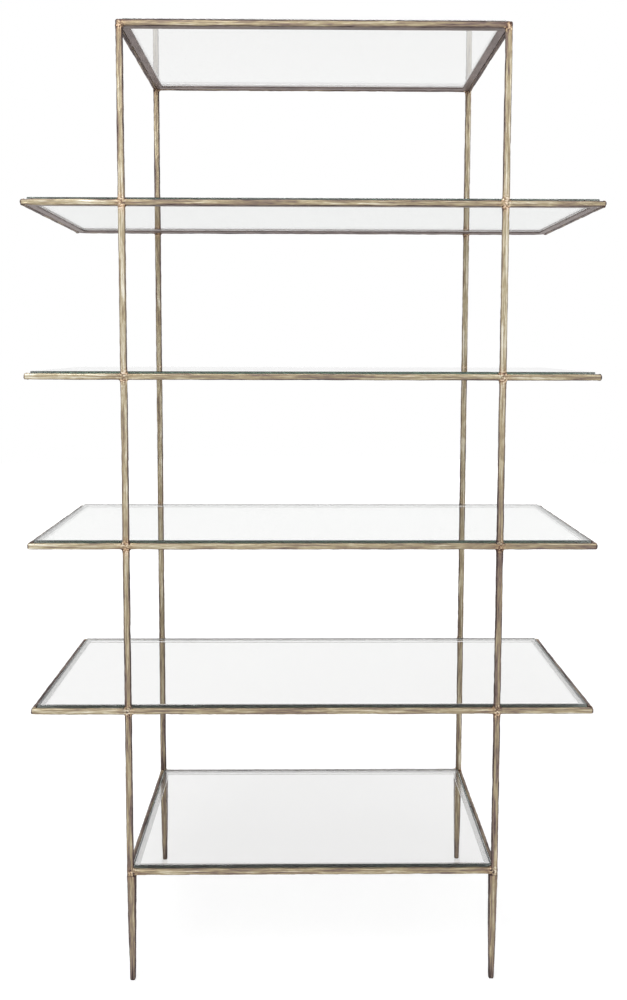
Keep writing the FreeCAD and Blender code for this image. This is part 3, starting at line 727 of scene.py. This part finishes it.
def post_line(bay, row, side):
    """The bar of one post length, from its CAD node's place."""
    node = f"post_{row}_{side}_{bay}"
    low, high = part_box(node)
    x, y, _ = (low + high) / 2
    inner = -SIDES[side]
    welds = [(1, inner)]
    if bay > 1:
        welds.append((1, -inner))
    if bay < LOWEST_BAY:
        welds.extend([(-1, inner), (-1, -inner)])
    # the lowest length runs down past the lowest frame, and is welded to it half a rail up
    joints = (RAIL.z / 2 if bay == LOWEST_BAY else 0, high.z - low.z)
    # from the lowest shelf to the top one, as each post was rubbed
    # how bright each post is at each shelf, from the lowest to the top one: the lengths near eye level are
    # brightest, a painted highlight where the lamps catch them, and the lower lengths darker, a painted
    # shade
    brightness = {
        ("front", "left"): (0.48, 0.4, 0.54, 0.74, 0.74, 0.4),
        ("front", "right"): (0.45, 0.42, 0.35, 0.74, 0.76, 0.52),
        ("back", "left"): (0.34, 0.55, 0.6, 0.68, 0.5, 0.5),
        ("back", "right"): (0.6, 0.6, 0.6, 0.7, 0.7, 0.6),
    }[row, side]
    rub_and_painted_light = brightness[LOWEST_BAY - bay:][:2]
    return Bar(node, Vector((x, y, low.z)), Vector((x, y, high.z)), ACROSS, rub_and_painted_light=rub_and_painted_light, welds=welds,
               joints=joints)


class ETAGERE_OT_posts(bpy.types.Operator):
    """Forges the four posts, each in the lengths between the shelf frames"""

    bl_idname = "etagere.posts"
    bl_label = "Hammered posts"

    def execute(self, context):
        for row in ROWS:
            bars = [post_line(bay, row, side) for bay in BAYS for side in SIDES]
            forge(f"{row}_posts", bars, context.scene.etagere_sizes.post_face)
        return {"FINISHED"}


def leg_line(row, side):
    """The bar of one leg, drawn down from its shoulder to its foot."""
    sizes = bpy.context.scene.etagere_sizes
    # the leg's box holds its two welds on its inner sides, so the bar is nearer its outer corner
    node = f"leg_{row}_{side}"
    place, full = middle(node), extent(node)
    x = place.x + SIDES[side] * sizes.weld_leg / 2
    y = place.y + ROWS[row] * sizes.weld_leg / 2
    # what the dents take off the wide face is given back, and the leg is drawn down in a slight bow
    shoulder = (full.x - sizes.weld_leg + sizes.leg_bow, full.y - sizes.weld_leg)
    foot = (sizes.foot_face, sizes.foot_thickness)
    knee = ((foot[0] + shoulder[0]) / 2 + sizes.leg_bow, (foot[1] + shoulder[1]) / 2)
    section = [(face / sizes.post_face, depth / sizes.bar_thickness)
               for face, depth in (foot, knee, shoulder)]
    # the leg is darker towards its foot
    return Bar(node, Vector((x, y, 0)), Vector((x, y, LEG_TOP)), ACROSS, rub_and_painted_light=(0.1, 0.42, 0.5, 0.5, 0.38),
               welds=[(1, -SIDES[side])], side_welds=[(1, -ROWS[row])], joints=[LEG_TOP],
               open_ends=True, section=section, spatter=0.45)


class ETAGERE_OT_legs(bpy.types.Operator):
    """Forges the four tapered legs"""

    bl_idname = "etagere.legs"
    bl_label = "Forged legs"

    def execute(self, context):
        bars = [leg_line(row, side) for row in ROWS for side in SIDES]
        forge("legs", bars, context.scene.etagere_sizes.post_face)
        return {"FINISHED"}


class ETAGERE_OT_ledges(bpy.types.Operator):
    """Finishes the flat ledges under the panes and lays the tack welds that hold them"""

    bl_idname = "etagere.ledges"
    bl_label = "Ledges and tack welds"

    def execute(self, context):
        sizes = context.scene.etagere_sizes
        places, turns = [], []
        for shelf in SHELVES:
            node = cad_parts[f"ledge_{shelf}"]
            node.data.materials.clear()
            node.data.materials.append(finish(bronzed_mild_steel_strip))
            low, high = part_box(f"ledge_{shelf}")
            # most of a bead is sunk in the rail; the rest fills the gap, laps onto the ledge and hangs
            # a little below it
            out = sizes.ledge_gap / 2
            z = low.z + sizes.tack_width / 8
            for along, across, turn in ((0, 1, 0), (1, 0, math.pi / 2)):
                reach = high[along] - low[along]
                count = max(2, round(reach / sizes.tack_pitch) - 1)
                for line in (low[across] - out, high[across] + out):
                    for number in range(1, count + 1):
                        place = [line, line, z]
                        place[along] = reach * (number / (count + 1) - 0.5)
                        places.append(place)
                        turns.extend((0, 0, turn))
        mesh = bpy.data.meshes.new("tack_welds")
        mesh.from_pydata(places, [], [])
        mesh.attributes.new("turn", "FLOAT_VECTOR", "POINT").data.foreach_set("vector", turns)
        piece = run_tree("tack_welds", mesh, tack_weld_tree(), {
            "Tack Length": sizes.tack_length, "Tack Width": sizes.tack_width,
            "Ripple": sizes.tack_width / 12, "Finish": finish(bronzed_mild_steel_strip)})
        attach(piece, STAND)
        return {"FINISHED"}


def ring_mesh(name, loops, closed):
    """A mesh skinned over loops of points: closed into a ring, or capped at both ends."""
    shape = bmesh.new()
    made = [[shape.verts.new(place) for place in loop] for loop in loops]
    pairs = list(zip(made, made[1:]))
    if closed:
        pairs.append((made[-1], made[0]))
    else:
        shape.faces.new(made[-1])
        shape.faces.new(list(reversed(made[0])))
    for first, second in pairs:
        for here in range(len(first)):
            after = (here + 1) % len(first)
            shape.faces.new((first[here], first[after], second[after], second[here]))
    bmesh.ops.recalc_face_normals(shape, faces=shape.faces)
    mesh = bpy.data.meshes.new(name)
    shape.to_mesh(mesh)
    shape.free()
    return mesh


class ETAGERE_OT_tape(bpy.types.Operator):
    """Lays the glazing tape on the ledges, folded over their inner edges or cut flush with them"""

    bl_idname = "etagere.tape"
    bl_label = "Glazing tape"

    def execute(self, context):
        sizes = context.scene.etagere_sizes
        # a hair of room keeps the tape and the ledge apart
        room = sizes.tape_thickness / 12
        # the node's box ends on the rails, where the tack welds do, and the ledge a gap inside it
        outside = sizes.ledge_gap + sizes.tape_inset
        under = sizes.ledge_gap + sizes.ledge_width + room
        over = under + sizes.tape_thickness
        for shelf in SHELVES:
            low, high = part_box(f"ledge_{shelf}")
            bottom = high.z + room
            top = bottom + sizes.tape_thickness
            hem = bottom - sizes.tape_hem
            profile = [(outside, bottom), (outside, top), (over, top), (over, hem), (under, hem),
                       (under, bottom)]
            if shelf in CUT_FLUSH:
                profile = [(outside, bottom), (outside, top), (under, top), (under, bottom)]
            loops = []
            for inset, z in profile:
                loops.append([(x, y, z) for x, y in (
                    (low.x + inset, low.y + inset), (high.x - inset, low.y + inset),
                    (high.x - inset, high.y - inset), (low.x + inset, high.y - inset))])
            mesh = ring_mesh(f"tape_{shelf}", loops, closed=True)
            mesh.materials.append(finish(aluminium_faced_glazing_tape))
            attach(place_mesh(f"tape_{shelf}", mesh), STAND)
        return {"FINISHED"}


def rounded_loop(low, high, inset, corner, z):
    """Points round a rectangle with rounded corners."""
    steps = 5
    loop = []
    for number, (way_x, way_y) in enumerate(((1, 1), (-1, 1), (-1, -1), (1, -1))):
        x = high.x - inset - corner if way_x > 0 else low.x + inset + corner
        y = high.y - inset - corner if way_y > 0 else low.y + inset + corner
        for step in range(steps):
            angle = math.radians(90 * (number + step / (steps - 1)))
            loop.append((x + corner * math.cos(angle), y + corner * math.sin(angle), z))
    return loop


class ETAGERE_OT_panes(bpy.types.Operator):
    """Cuts the glass panes, with satin edges, polished arrises and rounded corners"""

    bl_idname = "etagere.panes"
    bl_label = "Glass panes"

    def execute(self, context):
        sizes = context.scene.etagere_sizes
        arris = sizes.pane_arris
        for shelf in SHELVES:
            low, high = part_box(f"glass_{shelf}")
            loops = [rounded_loop(low, high, inset, sizes.pane_corner - inset, z) for inset, z in (
                (arris, low.z), (0, low.z + arris), (0, high.z - arris), (arris, high.z))]
            mesh = ring_mesh(f"pane_{shelf}_glass", loops, closed=False)
            # only the upright sides are ground
            upright = [float(abs(face.normal.z) < 0.5) for face in mesh.polygons]
            mesh.attributes.new("ground", "FLOAT", "FACE").data.foreach_set("value", upright)
            mesh.materials.append(finish(clear_float_glass))
            piece = place_mesh(f"pane_{shelf}_glass", mesh)
            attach(piece, f"pane_{shelf}")
            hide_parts(f"glass_{shelf}")
        return {"FINISHED"}


# ---------------------------------------------------------------- stage

FLOOR_RADIUS = 9.0
# name, place, aim, width and height in metres, and power in watts. The lamps hang high, so that the
# panes mirror them to nobody who stands in front or behind.
LAMPS = (
    ("key", (-1.6, -2.4, 4.2), (0, 0, 1.1), 2.2, 2.2, 70),
    ("fill", (2.0, -2.2, 3.8), (0, 0, 1.0), 2.2, 2.2, 20),
    ("top", (0.3, 0.6, 4.2), (0, 0, 1.0), 2.0, 1.5, 40),
)


def add_lamp(name, place, target, width, height, power):
    """A soft rectangular lamp aimed at a point."""
    light = bpy.data.lights.new(name, "AREA")
    light.shape = "RECTANGLE"
    light.size = width
    light.size_y = height
    light.energy = power
    lamp = bpy.data.objects.new(name, light)
    lamp.location = place
    lamp.rotation_euler = (Vector(target) - Vector(place)).to_track_quat("-Z", "Y").to_euler()
    bpy.context.scene.collection.objects.link(lamp)


# the camera's place in metres, how it is turned in radians, and its lens and sensor in millimetres
CAMERA_PLACE = (-0.0182, -2.0560, 1.3717)
CAMERA_YAW, CAMERA_PITCH, CAMERA_ROLL = 0.0098, -0.0737, -0.0022
CAMERA_LENS, CAMERA_SENSOR = 31.884768, 36.0
CAMERA_SHIFT = -0.087


def add_camera():
    """The camera, just above the third shelf and tipped down a little."""
    flat = math.cos(CAMERA_PITCH)
    forward = Vector((math.sin(CAMERA_YAW) * flat, math.cos(CAMERA_YAW) * flat, math.sin(CAMERA_PITCH)))
    right = Vector((math.cos(CAMERA_YAW), -math.sin(CAMERA_YAW), 0))
    down = forward.cross(right)
    cos, sin = math.cos(CAMERA_ROLL), math.sin(CAMERA_ROLL)
    right, down = right * cos + down * sin, down * cos - right * sin
    data = bpy.data.cameras.new("camera")
    data.sensor_fit = "VERTICAL"
    data.sensor_height = CAMERA_SENSOR
    data.lens = CAMERA_LENS
    data.shift_y = CAMERA_SHIFT
    data.clip_end = 50
    camera = bpy.data.objects.new("camera", data)
    turn = Matrix((right, -down, -forward)).transposed().to_4x4()
    camera.matrix_world = Matrix.Translation(CAMERA_PLACE) @ turn
    bpy.context.scene.collection.objects.link(camera)
    bpy.context.scene.camera = camera


class ETAGERE_OT_stage(bpy.types.Operator):
    """Sets up the pale floor, the soft lamps, the world and the camera"""

    bl_idname = "etagere.stage"
    bl_label = "Stage"

    def execute(self, context):
        scene = context.scene
        shape = bmesh.new()
        bmesh.ops.create_circle(shape, cap_ends=True, segments=96, radius=FLOOR_RADIUS)
        mesh = bpy.data.meshes.new("studio_floor")
        shape.to_mesh(mesh)
        shape.free()
        mesh.materials.append(finish(white_studio_floor))
        place_mesh("studio_floor", mesh)
        world = bpy.data.worlds.new("studio")
        world.use_nodes = True
        tree = world.node_tree
        tree.nodes.clear()
        # the world lights the stand at half of what it shows
        strength = add(tree, "ShaderNodeMapRange",
                       {"Value": seen_directly(tree), "To Min": 0.5, "To Max": 1.0})
        sky = add(tree, "ShaderNodeBackground", {"Color": (1, 1, 1, 1), "Strength": strength})
        add(tree, "ShaderNodeOutputWorld", {"Surface": sky})
        scene.world = world
        for lamp in LAMPS:
            add_lamp(*lamp)
        add_camera()
        scene.view_settings.view_transform = "Standard"
        return {"FINISHED"}


OPERATORS = (
    ETAGERE_OT_rails, ETAGERE_OT_posts, ETAGERE_OT_legs, ETAGERE_OT_ledges, ETAGERE_OT_tape,
    ETAGERE_OT_panes, ETAGERE_OT_stage,
)


class ETAGERE_PT_panel(bpy.types.Panel):
    """Lists the sizes, the colours and the steps"""

    bl_idname = "ETAGERE_PT_panel"
    bl_label = "Etagere"
    bl_space_type = "VIEW_3D"
    bl_region_type = "UI"
    bl_category = "Etagere"

    def draw(self, context):
        layout = self.layout
        for group in (context.scene.etagere_sizes, context.scene.etagere_colours):
            for key in group.__annotations__:
                layout.prop(group, key)
        for operator in OPERATORS:
            layout.operator(operator.bl_idname)


CLASSES = (EtagereSizes, EtagereColours, *OPERATORS, ETAGERE_PT_panel)


def register():
    for cls in CLASSES:
        bpy.utils.register_class(cls)
    bpy.types.Scene.etagere_sizes = PointerProperty(type=EtagereSizes)
    bpy.types.Scene.etagere_colours = PointerProperty(type=EtagereColours)


def unregister():
    del bpy.types.Scene.etagere_colours
    del bpy.types.Scene.etagere_sizes
    for cls in reversed(CLASSES):
        bpy.utils.unregister_class(cls)


def main():
    """Makes every piece and the stage."""
    register()
    bpy.ops.etagere.rails()
    bpy.ops.etagere.posts()
    bpy.ops.etagere.legs()
    bpy.ops.etagere.ledges()
    bpy.ops.etagere.tape()
    bpy.ops.etagere.panes()
    bpy.ops.etagere.stage()


if __name__ == "__main__":
    main()
